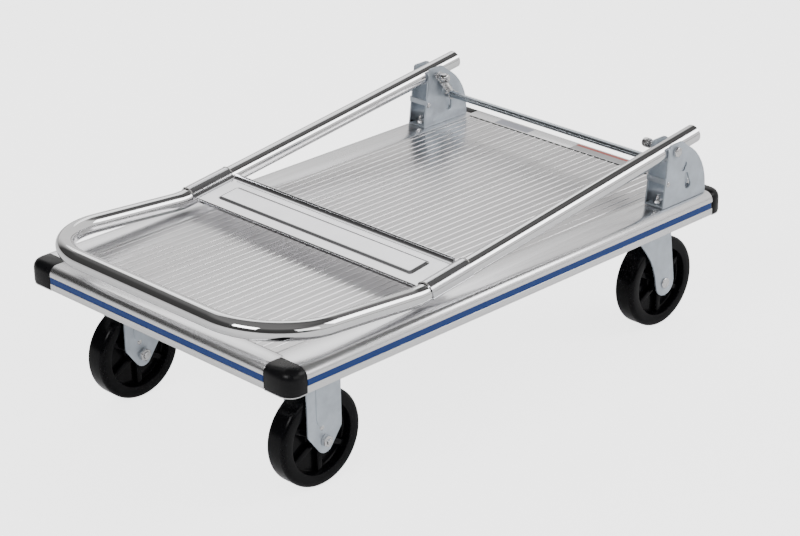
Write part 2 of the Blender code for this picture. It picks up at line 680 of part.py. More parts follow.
def swivel_side():
    """Side view of the swivel fork: its front edge sweeps forward under the ball race."""
    y, z = REAR_AXLE_Y, WHEEL_RADIUS
    loop = arc((y, z), 0.0185, 180.0, 360.0, 8)
    loop += [(y + 0.0170, 0.0800), (y + 0.0105, 0.1350), (y + 0.0095, 0.1600)]
    loop += [(y - 0.0660, 0.1600), (y - 0.0660, 0.1500), (y - 0.0620, 0.1460)]
    loop += [(y - 0.0510, 0.1350), (y - 0.0410, 0.1220), (y - 0.0325, 0.1090)]
    loop += [(y - 0.0265, 0.0970), (y - 0.0215, 0.0820)]
    return loop


for side, sign in (("left", -1.0), ("right", 1.0)):
    x = sign * WHEEL_X
    plate_top_z = RAIL_BOTTOM - GAP
    plate_low_z = plate_top_z - CASTER_PLATE_THICK
    half_x, half_y = CASTER_PLATE_X / 2, CASTER_PLATE_Y / 2

    # Rigid caster at the front: folded fork, mounting plate and a pressed panel on each cheek.
    y = FRONT_AXLE_Y
    fork = emit(f"rigid_fork_{side}", fork_shell(x, RIGID_WEB_TOP + 0.0004, y - 0.05, y + 0.05), "zinc_sheet")
    outline = [rigid_side(), circle((y, WHEEL_RADIUS), AXLE_RADIUS + GAP, 12)]
    combine(fork, emit(f"rigid_outline_{side}", prism(outline, "X", x - 0.03, x + 0.03)), "INTERSECT")
    for face in (-1.0, 1.0):
        low, high = sorted((x + face * (FORK_HALF - 0.0005), x + face * (FORK_HALF + 0.0012)))
        pressing = arc((y, 0.0975), 0.0140, 180.0, 360.0, 6) + [(y + 0.0140, 0.1560), (y - 0.0140, 0.1560)]
        label = "outer" if face * sign > 0 else "inner"
        combine(fork, emit(f"fork_pressing_{label}_{side}", prism([pressing], "X", low, high)), "UNION")
    plate = block((x - half_x, y - half_y, plate_low_z), (x + half_x, y + half_y, plate_top_z))
    combine(fork, emit(f"rigid_plate_{side}", plate), "UNION")

    # Swivel caster at the rear: fixed plate with its upper race, king bolt and trailing fork.
    y = REAR_AXLE_Y - SWIVEL_OFFSET
    swivel_plate = emit(
        f"swivel_plate_{side}",
        prism([[(x - half_x, y - half_y), (x + half_x, y - half_y), (x + half_x, y + half_y),
                (x - half_x, y + half_y)], circle((x, y), 0.0066, 16)], "Z", plate_low_z, plate_top_z),
        "zinc_sheet",
    )
    race = turned("Z", (x, y), [
        (0.1650, 0.0066, False), (0.1650, 0.0270, False), (0.1665, 0.0280, False),
        (plate_low_z + 0.0005, 0.0280, False), (plate_low_z + 0.0005, 0.0066, False)], 18)
    combine(swivel_plate, emit(f"upper_race_{side}", race), "UNION")
    king = [
        (0.1465, 0.0, False), (0.1465, 0.0075, True), (0.1520, 0.0095, True), (0.1527, 0.0095, True),
        (0.1527, 0.0060, False), (plate_top_z - 0.0005, 0.0060, False), (plate_top_z - 0.0005, 0.0, False),
    ]
    emit(f"king_bolt_{side}", turned("Z", (x, y), king, 12), "zinc_fastener")

    axis = (x, y, 0.0)
    swivel = emit(f"swivel_fork_{side}", fork_shell(x, SWIVEL_WEB_TOP, y - 0.06, y + 0.10), "zinc_sheet",
                  origin=axis)
    outline = [swivel_side(), circle((REAR_AXLE_Y, WHEEL_RADIUS), AXLE_RADIUS + GAP, 12)]
    combine(swivel, emit(f"swivel_outline_{side}", prism(outline, "X", x - 0.03, x + 0.03)), "INTERSECT")
    cup = turned("Z", (x, y), [
        (SWIVEL_WEB_TOP - 0.0005, 0.0, False), (SWIVEL_WEB_TOP - 0.0005, 0.0205, False),
        (SWIVEL_WEB_TOP + 0.0030, 0.0260, False), (0.1645, 0.0265, False), (0.1645, 0.0, False)], 18)
    combine(swivel, emit(f"lower_race_{side}", cup), "UNION")
    bore = turned("Z", (x, y), [
        (0.1510, 0.0, False), (0.1510, 0.0065, False), (0.1700, 0.0065, False), (0.1700, 0.0, False)], 16)
    combine(swivel, emit(f"king_bore_{side}", bore), "DIFFERENCE")

    for end, axle_y in (("front", FRONT_AXLE_Y), ("rear", REAR_AXLE_Y)):
        # Wheel: solid tread on a recessed, hubbed disc.
        half = WHEEL_WIDTH / 2
        profile = [
            (-0.0178, AXLE_RADIUS + 0.0004), (-0.0178, 0.0145), (-0.0040, 0.0165), (-0.0040, 0.0455),
            (-half, 0.0485), (-half, 0.0600), (-half + 0.0016, 0.0633), (-half + 0.0065, WHEEL_RADIUS),
        ]
        profile += [(-a, r) for a, r in reversed(profile)]
        sections = [(x + a, r, False) for a, r in profile]
        emit(f"wheel_{end}_{side}", turned("X", (axle_y, WHEEL_RADIUS), sections, 28), "wheel_black",
             origin=(x, axle_y, WHEEL_RADIUS), smooth=True)

        # Axle: hexagon bolt and nut at the front, flat-headed pin and nut at the rear.
        cheek = FORK_HALF + GAP
        head_out = x + sign * cheek
        nut_in = x - sign * cheek
        if end == "front":
            head = [(head_out + sign * 0.0100, 0.0, False), (head_out + sign * 0.0095, 0.0042, False),
                    (head_out + sign * 0.0062, 0.0042, False), (head_out + sign * 0.0058, 0.0066, True),
                    (head_out, 0.0070, True)]
            origin = (0.0, 0.0, 0.0)
        else:
            head = [(head_out + sign * 0.0020, 0.0, False), (head_out + sign * 0.0020, 0.0068, False),
                    (head_out + sign * 0.0012, 0.0078, False), (head_out, 0.0078, False)]
            origin = axis
        shank = [(head_out, AXLE_RADIUS, False), (nut_in - sign * 0.0085, AXLE_RADIUS, False),
                 (nut_in - sign * 0.0085, 0.0, False)]
        emit(f"axle_{end}_{side}", turned("X", (axle_y, WHEEL_RADIUS), head + shank, 12), "zinc_fastener",
             origin=origin)
        hole = AXLE_RADIUS + GAP
        nut = [(nut_in, hole, False), (nut_in, 0.0078, True), (nut_in - sign * 0.0055, 0.0078, True),
               (nut_in - sign * 0.0068, 0.0070, False), (nut_in - sign * 0.0068, hole, False)]
        emit(f"axle_nut_{end}_{side}", turned("X", (axle_y, WHEEL_RADIUS), nut, 12), "zinc_fastener",
             origin=origin)
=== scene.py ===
import json
import math
import bmesh
import bpy
from mathutils import Matrix, Vector


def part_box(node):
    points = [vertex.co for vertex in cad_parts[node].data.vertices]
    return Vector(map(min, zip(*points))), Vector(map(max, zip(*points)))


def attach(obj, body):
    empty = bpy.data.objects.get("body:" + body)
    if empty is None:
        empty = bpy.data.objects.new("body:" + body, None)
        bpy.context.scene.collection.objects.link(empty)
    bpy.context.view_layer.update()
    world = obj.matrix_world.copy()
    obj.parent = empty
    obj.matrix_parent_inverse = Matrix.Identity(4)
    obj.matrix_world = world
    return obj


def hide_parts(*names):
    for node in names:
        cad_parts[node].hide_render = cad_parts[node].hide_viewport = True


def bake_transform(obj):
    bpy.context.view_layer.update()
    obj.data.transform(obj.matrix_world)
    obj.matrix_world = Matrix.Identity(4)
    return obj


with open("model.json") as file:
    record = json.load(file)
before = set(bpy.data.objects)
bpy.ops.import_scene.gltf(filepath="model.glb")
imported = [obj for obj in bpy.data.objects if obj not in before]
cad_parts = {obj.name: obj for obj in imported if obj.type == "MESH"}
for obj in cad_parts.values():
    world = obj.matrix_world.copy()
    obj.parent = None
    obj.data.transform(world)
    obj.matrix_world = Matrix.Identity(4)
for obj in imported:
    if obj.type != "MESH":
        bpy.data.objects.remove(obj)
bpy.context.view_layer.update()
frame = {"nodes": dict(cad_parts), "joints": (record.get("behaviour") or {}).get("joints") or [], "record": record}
nodes = frame["nodes"]
record = frame["record"]
joints = {joint["name"]: joint for joint in frame["joints"]}
bodyOf = {node: body for body, members in record["behaviour"]["bodies"].items() for node in members}
slotOf = {part["node"]: part["material_slot"] for part in record["subparts"]}
scene = bpy.context.scene

capFront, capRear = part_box("corner_cap_front_left"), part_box("corner_cap_rear_left")
deckMiddle = (capFront[0].y + capRear[1].y) / 2
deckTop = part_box("side_rail_right")[1].z
print("frame loaded")

# ---- camera and light
cameraView = {"target": (0.0259, 0.0, 0.1467), "azimuth": 45.744, "elevation": 23.844, "roll": -0.922,
              "distance": 3.277, "fieldOfView": 18.38}


def makeCamera(view):
    camera = bpy.data.objects.new("mainCamera", bpy.data.cameras.new("mainCamera"))
    scene.collection.objects.link(camera)
    azimuth, elevation = math.radians(view["azimuth"]), math.radians(view["elevation"])
    away = Vector((math.sin(azimuth) * math.cos(elevation), -math.cos(azimuth) * math.cos(elevation),
                   math.sin(elevation)))
    target = Vector(view["target"]) + Vector((0, deckMiddle, 0))
    turn = (-away).to_track_quat("-Z", "Y").to_matrix().to_4x4()
    turn = turn @ Matrix.Rotation(math.radians(view["roll"]), 4, "Z")
    camera.matrix_world = Matrix.Translation(target + away * view["distance"]) @ turn
    camera.data.sensor_width = 36
    camera.data.angle = math.radians(view["fieldOfView"])
    camera.data.clip_end = 60
    scene.camera = camera


softLights = [
    # name, place, aimed at, width, height, watts
    ("overhead", (-1.6, 0.9, 1.95), (0, 0, 0.1), 1.8, 1.4, 11),
    ("front", (0.5, -2.6, 2.2), (0, 0, 0.1), 1.5, 1.0, 44),
    ("rightRear", (1.9, 2.0, 2.05), (0, 0, 0.1), 1.4, 1.2, 26),
    ("rightFill", (3.0, -0.2, 1.5), (0, 0, 0.1), 1.6, 1.0, 12),
]


def makeLights():
    for name, place, aim, width, height, watts in softLights:
        light = bpy.data.lights.new(name, "AREA")
        light.shape = "RECTANGLE"
        light.size, light.size_y, light.energy = width, height, watts
        lamp = bpy.data.objects.new(name, light)
        scene.collection.objects.link(lamp)
        lamp.location = place
        lamp.rotation_euler = (Vector(aim) - Vector(place)).to_track_quat("-Z", "Y").to_euler()


# height of a ray from straight down to straight up, then brightness: the pale sweep behind the cart
# with a dark ceiling over it, and the darker room in front of it
room = {
    "behind": [(0.00, 0.60), (0.488, 0.95), (0.495, 0.06), (0.505, 0.06), (0.515, 1.00), (0.795, 1.00),
               (0.83, 0.24), (0.88, 0.09), (1.00, 0.20)],
    "before": [(0.00, 0.60), (0.49, 0.55), (0.505, 0.05), (0.78, 0.07), (0.88, 0.22), (1.00, 0.20)],
    "behindWay": (0.0, 1.0, 0.0), "turnRange": (-0.10, 0.40), "warmth": (1.0, 0.985, 0.97), "strength": 1.04,
}


def makeRoom():
    world = bpy.data.worlds.new("studio")
    scene.world = world
    world.use_nodes = True
    tree = world.node_tree
    coords = tree.nodes.new("ShaderNodeTexCoord")
    split = tree.nodes.new("ShaderNodeSeparateXYZ")
    height = tree.nodes.new("ShaderNodeMapRange")
    height.inputs["From Min"].default_value = -1
    tree.links.new(coords.outputs["Generated"], split.inputs[0])
    tree.links.new(split.outputs["Z"], height.inputs["Value"])
    side = tree.nodes.new("ShaderNodeVectorMath")
    side.operation = "DOT_PRODUCT"
    side.inputs[1].default_value = room["behindWay"]
    tree.links.new(coords.outputs["Generated"], side.inputs[0])
    turn = tree.nodes.new("ShaderNodeMapRange")
    turn.interpolation_type = "SMOOTHSTEP"
    turn.inputs["From Min"].default_value, turn.inputs["From Max"].default_value = room["turnRange"]
    tree.links.new(side.outputs["Value"], turn.inputs["Value"])
    mix = tree.nodes.new("ShaderNodeMix")
    mix.data_type = "RGBA"
    tree.links.new(turn.outputs[0], mix.inputs["Factor"])
    for key, socket in (("before", "A"), ("behind", "B")):
        ramp = tree.nodes.new("ShaderNodeValToRGB")
        while len(ramp.color_ramp.elements) < len(room[key]):
            ramp.color_ramp.elements.new(0.5)
        for element, (place, level) in zip(ramp.color_ramp.elements, room[key]):
            element.position = place
            element.color = (*(level * w for w in room["warmth"]), 1)
        tree.links.new(height.outputs[0], ramp.inputs[0])
        tree.links.new(ramp.outputs[0], [i for i in mix.inputs if i.name == socket and i.type == "RGBA"][0])
    background = tree.nodes["Background"]
    background.inputs["Strength"].default_value = room["strength"]
    tree.links.new([o for o in mix.outputs if o.type == "RGBA"][0], background.inputs["Color"])


makeCamera(cameraView)
makeLights()
makeRoom()
print("camera and light ready")


# ---- shader groups
def newGroup(name, inputs, outputs):
    group = bpy.data.node_groups.new(name, "ShaderNodeTree")
    for label, kind, value in inputs:
        socket = group.interface.new_socket(label, in_out="INPUT", socket_type=kind)
        socket.default_value = value
    for label, kind in outputs:
        group.interface.new_socket(label, in_out="OUTPUT", socket_type=kind)
    return group, group.nodes.new("NodeGroupInput"), group.nodes.new("NodeGroupOutput")


def mathNode(tree, operation, first, second):
    node = tree.nodes.new("ShaderNodeMath")
    node.operation = operation
    for socket, value in zip(node.inputs, (first, second)):
        if isinstance(value, (int, float)):
            socket.default_value = value
        else:
            tree.links.new(value, socket)
    return node.outputs[0]


def stretchedNoise(tree, stretch, detail):
    coords = tree.nodes.new("ShaderNodeTexCoord")
    scaled = tree.nodes.new("ShaderNodeVectorMath")
    scaled.operation = "MULTIPLY"
    tree.links.new(coords.outputs["Object"], scaled.inputs[0])
    tree.links.new(stretch, scaled.inputs[1])
    noise = tree.nodes.new("ShaderNodeTexNoise")
    noise.inputs["Scale"].default_value = 1.0
    noise.inputs["Detail"].default_value = detail
    tree.links.new(scaled.outputs[0], noise.inputs["Vector"])
    return noise.outputs["Fac"]


def spread(tree, value, low, high, fromLow=0.3, fromHigh=0.7):
    node = tree.nodes.new("ShaderNodeMapRange")
    node.inputs["From Min"].default_value = fromLow
    node.inputs["From Max"].default_value = fromHigh
    tree.links.new(value, node.inputs["Value"])
    for socket, limit in ((node.inputs["To Min"], low), (node.inputs["To Max"], high)):
        if isinstance(limit, (int, float)):
            socket.default_value = limit
        else:
            tree.links.new(limit, socket)
    return node.outputs[0]


def makeNoiseGroup(name, stretch, low, high, detail):
    group, entry, leave = newGroup(
        name,
        [("Stretch", "NodeSocketVector", stretch), ("Low", "NodeSocketFloat", low),
         ("High", "NodeSocketFloat", high)],
        [("Value", "NodeSocketFloat"), ("Height", "NodeSocketFloat")])
    noise = stretchedNoise(group, entry.outputs["Stretch"], detail)
    group.links.new(spread(group, noise, entry.outputs["Low"], entry.outputs["High"]), leave.inputs["Value"])
    group.links.new(noise, leave.inputs["Height"])
    return group


# lines drawn along one direction: extruding, polishing or rolling marks
drawnLines = makeNoiseGroup("drawnLines", (900, 3, 900), 0.9, 1.0, 3)
# slow cloudy variation: handling marks, plating and moulding unevenness
cloudiness = makeNoiseGroup("cloudiness", (14, 14, 14), 0.3, 0.4, 5)


def placeGroup(tree, group, **values):
    node = tree.nodes.new("ShaderNodeGroup")
    node.node_tree = group
    for label, value in values.items():
        node.inputs[label.capitalize()].default_value = value
    return node


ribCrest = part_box("deck_plank_1")[1].z
finishes = {
    # colour, metallic, line stretch, tint range, cloud stretch, roughness range, bump strength and depth;
    # crestHighlight: painted highlight on the rib tops, the two heights between which the ribs brighten to full
    # tint, and the tint below them
    "deck_aluminium": dict(colour=(0.81, 0.80, 0.81), metallic=1, lines=(520, 1.5, 10), tint=(0.80, 1.0),
                           cloud=(5, 2, 5), rough=(0.22, 0.34), bump=(0.05, 0.0001),
                           crestHighlight=(ribCrest - 0.0005, ribCrest, 0.80)),
    "rail_aluminium": dict(colour=(0.84, 0.84, 0.855), metallic=1, lines=(420, 1.2, 420), tint=(0.92, 1.0),
                           cloud=(6, 2, 6), rough=(0.24, 0.32), bump=(0.06, 0.0001)),
    "blue_trim": dict(colour=(0.005, 0.042, 0.215), metallic=0, lines=(700, 3, 700), tint=(0.90, 1.05),
                      cloud=(20, 6, 20), rough=(0.36, 0.46), bump=(0.05, 0.0001), specular=0.3),
    "black_plastic": dict(colour=(0.007, 0.007, 0.008), metallic=0, lines=(900, 900, 900), tint=(0.75, 1.25),
                          cloud=(30, 30, 30), rough=(0.24, 0.34), bump=(0.10, 0.0001), specular=0.16),
    "zinc_sheet": dict(colour=(0.57, 0.63, 0.70), metallic=0.5, lines=(60, 60, 60), tint=(0.86, 1.04),
                       cloud=(180, 180, 180), rough=(0.30, 0.46), bump=(0.08, 0.0001)),
    "zinc_fastener": dict(colour=(0.70, 0.70, 0.71), metallic=1, lines=(260, 260, 260), tint=(0.80, 1.05),
                          cloud=(120, 120, 120), rough=(0.18, 0.30), bump=(0.06, 0.0001)),
    "rod_steel": dict(colour=(0.50, 0.54, 0.58), metallic=1, lines=(3, 200, 200), tint=(0.95, 1.02),
                      cloud=(14, 60, 60), rough=(0.20, 0.26), bump=(0.01, 0.00002)),
    "chrome_tube": dict(colour=(0.80, 0.80, 0.81), metallic=1, lines=(40, 40, 40), tint=(0.97, 1.0),
                        cloud=(25, 25, 25), rough=(0.04, 0.075), bump=(0.01, 0.00002)),
    "plated_sheet": dict(colour=(0.75, 0.75, 0.775), metallic=1, lines=(500, 3, 500), tint=(0.93, 1.0),
                         cloud=(18, 18, 18), rough=(0.10, 0.19), bump=(0.03, 0.00005)),
    "spring_steel": dict(colour=(0.80, 0.80, 0.80), metallic=1, lines=(300, 300, 300), tint=(0.85, 1.0),
                         cloud=(150, 150, 150), rough=(0.22, 0.32), bump=(0.02, 0.00005)),
    "wheel_black": dict(colour=(0.0032, 0.0032, 0.0040), metallic=0, lines=(300, 300, 300), tint=(0.70, 1.30),
                        cloud=(22, 22, 22), rough=(0.16, 0.26), bump=(0.05, 0.0002), specular=0.11),
    "wheel_hub": dict(colour=(0.0026, 0.0026, 0.0034), metallic=0, lines=(500, 500, 500), tint=(0.80, 1.2),
                      cloud=(35, 35, 35), rough=(0.18, 0.28), bump=(0.05, 0.0001), specular=0.10),
    "weld_metal": dict(colour=(0.58, 0.57, 0.56), metallic=1, lines=(600, 600, 600), tint=(0.60, 1.1),
                       cloud=(200, 200, 200), rough=(0.22, 0.42), bump=(0.30, 0.0002)),
    "label_pale": dict(colour=(0.50, 0.51, 0.58), metallic=0, lines=(300, 300, 300), tint=(0.96, 1.0),
                       cloud=(40, 40, 40), rough=(0.35, 0.50), bump=(0.03, 0.0001)),
    "label_white": dict(colour=(0.60, 0.59, 0.60), metallic=0, lines=(300, 300, 300), tint=(0.96, 1.0),
                        cloud=(40, 40, 40), rough=(0.35, 0.50), bump=(0.03, 0.0001)),
    "label_red": dict(colour=(0.66, 0.12, 0.09), metallic=0, lines=(300, 300, 300), tint=(0.92, 1.0),
                      cloud=(40, 40, 40), rough=(0.35, 0.50), bump=(0.03, 0.0001)),
}


def paintedCrestHighlight(tree, shade, low, high, dull):
    # painted highlight: the tops of the ribs are tinted brighter than the skin between them, as where they catch
    # the light
    coords = tree.nodes.new("ShaderNodeTexCoord")
    split = tree.nodes.new("ShaderNodeSeparateXYZ")
    tree.links.new(coords.outputs["Object"], split.inputs[0])
    return mathNode(tree, "MULTIPLY", shade, spread(tree, split.outputs["Z"], dull, 1.0, low, high))


def makeFinish(name, spec):
    material = bpy.data.materials.new(name + "_look")
    material.use_nodes = True
    tree = material.node_tree
    shader = tree.nodes["Principled BSDF"]
    shader.inputs["Metallic"].default_value = spec["metallic"]
    shader.inputs["Specular IOR Level"].default_value = spec.get("specular", 0.5)
    lines = placeGroup(tree, drawnLines, stretch=spec["lines"], low=spec["tint"][0], high=spec["tint"][1])
    cloud = placeGroup(tree, cloudiness, stretch=spec["cloud"], low=spec["rough"][0], high=spec["rough"][1])
    tint = tree.nodes.new("ShaderNodeVectorMath")
    tint.operation = "SCALE"
    tint.inputs[0].default_value = spec["colour"]
    shade = lines.outputs["Value"]
    # the deck's ribs get a painted highlight along their tops
    if "crestHighlight" in spec:
        shade = paintedCrestHighlight(tree, shade, *spec["crestHighlight"])
    tree.links.new(shade, tint.inputs["Scale"])
    tree.links.new(tint.outputs[0], shader.inputs["Base Color"])
    tree.links.new(cloud.outputs["Value"], shader.inputs["Roughness"])
    bump = tree.nodes.new("ShaderNodeBump")
    bump.inputs["Strength"].default_value, bump.inputs["Distance"].default_value = spec["bump"]
    tree.links.new(lines.outputs["Height"], bump.inputs["Height"])
    tree.links.new(bump.outputs[0], shader.inputs["Normal"])
    return material


looks = {name: makeFinish(name, spec) for name, spec in finishes.items()}
# the end rails are drawn across the cart
looks["end_rail"] = makeFinish("end_rail", dict(finishes["rail_aluminium"], lines=(1.2, 420, 420)))
for node, obj in nodes.items():
    obj.data.materials.clear()
    obj.data.materials.append(looks[slotOf[node]])
print("materials ready")


# ---- mesh helpers
def toObject(name, bm, look, sharpAngle=32):
    mesh = bpy.data.meshes.new(name)
    bm.to_mesh(mesh)
    bm.free()
    mesh.materials.append(looks[look])
    obj = bpy.data.objects.new(name, mesh)
    scene.collection.objects.link(obj)
    shadeByAngle(mesh, sharpAngle)
    return obj


def shadeByAngle(mesh, angle):
    mesh.polygons.foreach_set("use_smooth", [True] * len(mesh.polygons))
    mesh.set_sharp_from_angle(angle=math.radians(angle))


def bake(obj):
    # turn an object's modifiers into its mesh
    evaluated = obj.evaluated_get(bpy.context.evaluated_depsgraph_get())
    mesh = bpy.data.meshes.new_from_object(evaluated)
    old = obj.data
    obj.modifiers.clear()
    obj.data = mesh
    bpy.data.meshes.remove(old)
    return obj


def settle(obj, body, slot, *replaced):
    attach(obj, body)
    if replaced:
        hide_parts(*replaced)
    return obj


mergeDistance, flatAngle = 2e-6, math.radians(0.6)


def softened(node, width, segments=2, look=None, sharpAngle=32, edgeAngle=34, keepFaces=False):
    # a copy of a solid with its sharp edges broken; keepFaces leaves the flat faces unjoined
    bm = bmesh.new()
    bm.from_mesh(nodes[node].data)
    bmesh.ops.remove_doubles(bm, verts=bm.verts, dist=mergeDistance)
    if not keepFaces:
        bmesh.ops.dissolve_limit(bm, angle_limit=flatAngle, verts=bm.verts, edges=bm.edges)
    obj = toObject(node + "_piece", bm, look or slotOf[node], sharpAngle)
    bevel = obj.modifiers.new("brokenEdges", "BEVEL")
    bevel.width, bevel.segments = width, segments
    bevel.limit_method = "ANGLE"
    bevel.angle_limit = math.radians(edgeAngle)
    bevel.use_clamp_overlap = True
    bake(obj)
    shadeByAngle(obj.data, sharpAngle)
    return settle(obj, bodyOf[node], slotOf[node], node)


def sweep(bm, path, radius, sides, closedEnds=False):
    # a round wire or tube along the path, and its rings
    rings, normal = [], Vector((1, 0, 0))
    for i, point in enumerate(path):
        tangent = (path[min(i + 1, len(path) - 1)] - path[max(i - 1, 0)]).normalized()
        normal = (normal - tangent * normal.dot(tangent)).normalized()
        binormal = tangent.cross(normal)
        ring = []
        for k in range(sides):
            angle = 2 * math.pi * k / sides
            spoke = normal * math.cos(angle) + binormal * math.sin(angle)
            ring.append(bm.verts.new(point + spoke * radius))
        rings.append(ring)
    for low, high in zip(rings[:-1], rings[1:]):
        for k in range(sides):
            bm.faces.new((low[k - 1], low[k], high[k], high[k - 1]))
    if closedEnds:
        bm.faces.new(rings[0])
        bm.faces.new(rings[-1])
    return rings


def lathe(bm, centre, profile, sides):
    # turned about X; profile: (place along X, radius), and a zero radius closes the end
    rings = []
    for along, radius in profile:
        ring = []
        for k in range(1 if radius == 0 else sides):
            angle = 2 * math.pi * k / sides
            place = Vector((along, radius * math.cos(angle), radius * math.sin(angle)))
            ring.append(bm.verts.new(centre + place))
        rings.append(ring)
    pairs = list(zip(rings[:-1], rings[1:]))
    if profile[0][1] > 0:
        pairs.append((rings[-1], rings[0]))
    for low, high in pairs:
        for k in range(sides):
            corners = [low[(k - 1) % len(low)], low[k % len(low)],
                       high[k % len(high)], high[(k - 1) % len(high)]]
            bm.faces.new(list(dict.fromkeys(corners)))
    bmesh.ops.recalc_face_normals(bm, faces=bm.faces)


# ---- geometry node helpers
def nodeTool(name, inputs):
    tree = bpy.data.node_groups.new(name, "GeometryNodeTree")
    tree.is_modifier = True
    tree.interface.new_socket("Geometry", in_out="INPUT", socket_type="NodeSocketGeometry")
    for label, kind, value in inputs:
        socket = tree.interface.new_socket(label, in_out="INPUT", socket_type=kind)
        if value is not None:
            socket.default_value = value
    tree.interface.new_socket("Geometry", in_out="OUTPUT", socket_type="NodeSocketGeometry")
    return tree, tree.nodes.new("NodeGroupInput"), tree.nodes.new("NodeGroupOutput")


def finishTool(tree, geometry, entry, leave):
    real = tree.nodes.new("GeometryNodeRealizeInstances")
    paint = tree.nodes.new("GeometryNodeSetMaterial")
    tree.links.new(geometry, real.inputs[0])
    tree.links.new(real.outputs[0], paint.inputs["Geometry"])
    tree.links.new(entry.outputs["Material"], paint.inputs["Material"])
    tree.links.new(paint.outputs[0], leave.inputs[0])
    return tree


def runTool(name, tree, points, values, sharpAngle=32):
    mesh = bpy.data.meshes.new(name)
    mesh.from_pydata([tuple(p) for p in points], [], [])
    obj = bpy.data.objects.new(name, mesh)
    scene.collection.objects.link(obj)
    modifier = obj.modifiers.new("tool", "NODES")
    modifier.node_group = tree
    for item in tree.interface.items_tree:
        if item.in_out == "INPUT" and item.name in values:
            modifier[item.identifier] = values[item.name]
    bake(obj)
    shadeByAngle(obj.data, sharpAngle)
    return obj


def makeBoltTool():
    # a hexagon and a washer on every point, standing along Z
    tree, entry, leave = nodeTool("hexBolts", [
        ("Hex Radius", "NodeSocketFloat", 0.0065), ("Hex Height", "NodeSocketFloat", 0.005),
        ("Washer Radius", "NodeSocketFloat", 0.0085), ("Washer Height", "NodeSocketFloat", 0.0012),
        ("Stud Radius", "NodeSocketFloat", 0.004), ("Stud Height", "NodeSocketFloat", 0.009),
        ("Material", "NodeSocketMaterial", None)])
    join = tree.nodes.new("GeometryNodeJoinGeometry")
    for label, sides in (("Hex", 6), ("Washer", 28), ("Stud", 18)):
        solid = tree.nodes.new("GeometryNodeMeshCylinder")
        solid.inputs["Vertices"].default_value = sides
        tree.links.new(entry.outputs[label + " Radius"], solid.inputs["Radius"])
        tree.links.new(entry.outputs[label + " Height"], solid.inputs["Depth"])
        move = tree.nodes.new("GeometryNodeTransform")
        drop = tree.nodes.new("ShaderNodeCombineXYZ")
        tree.links.new(mathNode(tree, "MULTIPLY", entry.outputs[label + " Height"], -0.5), drop.inputs["Z"])
        tree.links.new(solid.outputs["Mesh"], move.inputs["Geometry"])
        tree.links.new(drop.outputs[0], move.inputs["Translation"])
        tree.links.new(move.outputs[0], join.inputs[0])
    spots = tree.nodes.new("GeometryNodeInstanceOnPoints")
    tree.links.new(entry.outputs["Geometry"], spots.inputs["Points"])
    tree.links.new(join.outputs[0], spots.inputs["Instance"])
    return finishTool(tree, spots.outputs[0], entry, leave)


def makeSpokeTool():
    # broad ribs from hub to rim, turned evenly about the axle
    tree, entry, leave = nodeTool("wheelSpokes", [
        ("Count", "NodeSocketInt", 5), ("Inner", "NodeSocketFloat", 0.014),
        ("Outer", "NodeSocketFloat", 0.048), ("Width", "NodeSocketFloat", 0.009),
        ("Thickness", "NodeSocketFloat", 0.024),
        ("Material", "NodeSocketMaterial", None)])
    rib = tree.nodes.new("GeometryNodeMeshCube")
    size = tree.nodes.new("ShaderNodeCombineXYZ")
    reach = mathNode(tree, "SUBTRACT", entry.outputs["Outer"], entry.outputs["Inner"])
    tree.links.new(entry.outputs["Thickness"], size.inputs["X"])
    tree.links.new(entry.outputs["Width"], size.inputs["Y"])
    tree.links.new(reach, size.inputs["Z"])
    tree.links.new(size.outputs[0], rib.inputs["Size"])
    shift = tree.nodes.new("ShaderNodeCombineXYZ")
    both = mathNode(tree, "ADD", entry.outputs["Outer"], entry.outputs["Inner"])
    tree.links.new(mathNode(tree, "MULTIPLY", both, 0.5), shift.inputs["Z"])
    move = tree.nodes.new("GeometryNodeTransform")
    tree.links.new(rib.outputs["Mesh"], move.inputs["Geometry"])
    tree.links.new(shift.outputs[0], move.inputs["Translation"])
    line = tree.nodes.new("GeometryNodeMeshLine")
    line.inputs["Offset"].default_value = (0, 0, 0)
    tree.links.new(entry.outputs["Count"], line.inputs["Count"])
    index = tree.nodes.new("GeometryNodeInputIndex")
    share = mathNode(tree, "DIVIDE", index.outputs[0], entry.outputs["Count"])
    turn = mathNode(tree, "MULTIPLY", share, 2 * math.pi)
    angles = tree.nodes.new("ShaderNodeCombineXYZ")
    tree.links.new(turn, angles.inputs["X"])
    spots = tree.nodes.new("GeometryNodeInstanceOnPoints")
    tree.links.new(line.outputs["Mesh"], spots.inputs["Points"])
    tree.links.new(move.outputs[0], spots.inputs["Instance"])
    tree.links.new(angles.outputs[0], spots.inputs["Rotation"])
    place = tree.nodes.new("GeometryNodeInstanceOnPoints")
    tree.links.new(entry.outputs["Geometry"], place.inputs["Points"])
    tree.links.new(spots.outputs[0], place.inputs["Instance"])
    return finishTool(tree, place.outputs[0], entry, leave)


def makeDomeTool():
    # low round heads pointing along X, on every point
    tree, entry, leave = nodeTool("roundHeads", [
        ("Radius", "NodeSocketFloat", 0.003), ("Flatness", "NodeSocketFloat", 0.5),
        ("Material", "NodeSocketMaterial", None)])
    ball = tree.nodes.new("GeometryNodeMeshUVSphere")
    ball.inputs["Segments"].default_value = 20
    ball.inputs["Rings"].default_value = 12
    tree.links.new(entry.outputs["Radius"], ball.inputs["Radius"])
    press = tree.nodes.new("ShaderNodeCombineXYZ")
    press.inputs["Y"].default_value = 1
    press.inputs["Z"].default_value = 1
    tree.links.new(entry.outputs["Flatness"], press.inputs["X"])
    spots = tree.nodes.new("GeometryNodeInstanceOnPoints")
    tree.links.new(entry.outputs["Geometry"], spots.inputs["Points"])
    tree.links.new(ball.outputs["Mesh"], spots.inputs["Instance"])
    tree.links.new(press.outputs[0], spots.inputs["Scale"])
    return finishTool(tree, spots.outputs[0], entry, leave)


